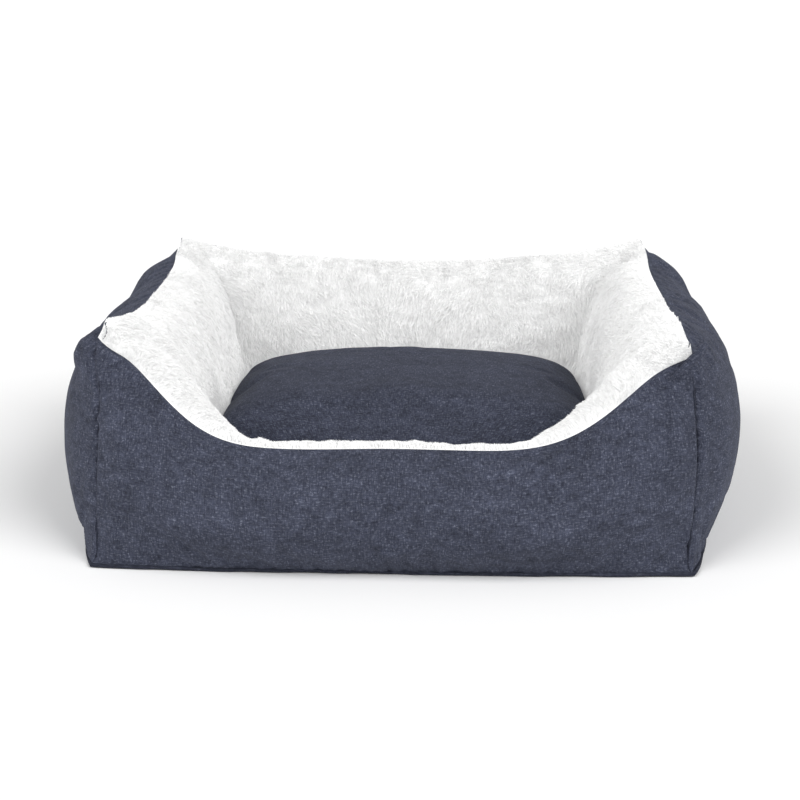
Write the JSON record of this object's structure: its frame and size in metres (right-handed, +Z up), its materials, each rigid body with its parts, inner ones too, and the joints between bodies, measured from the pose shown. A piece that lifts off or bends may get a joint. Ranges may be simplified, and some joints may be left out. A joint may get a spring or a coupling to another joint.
{
  "type": "pet bed",
  "caption": "Rectangular pet bed: stuffed walls in blue-grey cloth lined with white plush, a low entry side, a padded base and a loose zipped cushion.",
  "frame": {"origin": "middle of the bed's footprint, on the surface it stands on", "axes": "+X along the bed's long side, -Y towards the low entry side, +Z up"},
  "size_m": [0.6416, 0.5152, 0.22],
  "materials": {
    "denim": "heathered blue-grey twill, matt",
    "denim_edge": "folded edge of the same twill",
    "plush": "long-pile white plush",
    "fibre_fill": "hollow-fibre stuffing",
    "coated_cloth": "dark cloth with a grippy coating",
    "label_satin": "blank satin ribbon",
    "zip_textile": "woven zip tape and moulded teeth",
    "zip_metal": "dark plated metal"
  },
  "bodies": {
    "bed": {"outer_panel_front": "denim", "outer_panel_back": "denim", "outer_panel_left": "denim", "outer_panel_right": "denim", "lining_front": "plush", "lining_back": "plush", "lining_left": "plush", "lining_right": "plush", "wall_filling_front": "fibre_fill", "wall_filling_back": "fibre_fill", "wall_filling_left": "fibre_fill", "wall_filling_right": "fibre_fill", "corner_seam_front_left": "denim_edge", "corner_seam_front_right": "denim_edge", "corner_seam_back_left": "denim_edge", "corner_seam_back_right": "denim_edge", "base_underside_panel": "coated_cloth", "base_padding": "fibre_fill", "base_floor_panel": "coated_cloth", "base_welt_strip": "denim_edge", "care_label": "label_satin"},
    "cushion": {"cushion_top_panel": "denim", "cushion_bottom_panel": "denim", "cushion_filling": "fibre_fill", "zip_tape_upper": "zip_textile", "zip_tape_lower": "zip_textile", "zip_teeth_upper": "zip_textile", "zip_teeth_lower": "zip_textile", "zip_end_stops": "zip_metal"},
    "zip_slider": {"zip_slider": "zip_metal"}
  },
  "joints": [
    {"name": "cushion_lift", "type": "slide", "parent": "bed", "child": "cushion", "axis": [0, 0, 1], "range_m": [0, 0.24]},
    {"name": "zip_slide", "type": "slide", "parent": "cushion", "child": "zip_slider", "axis": [1, 0, 0], "range_m": [-0.204, 0]}
  ]
}
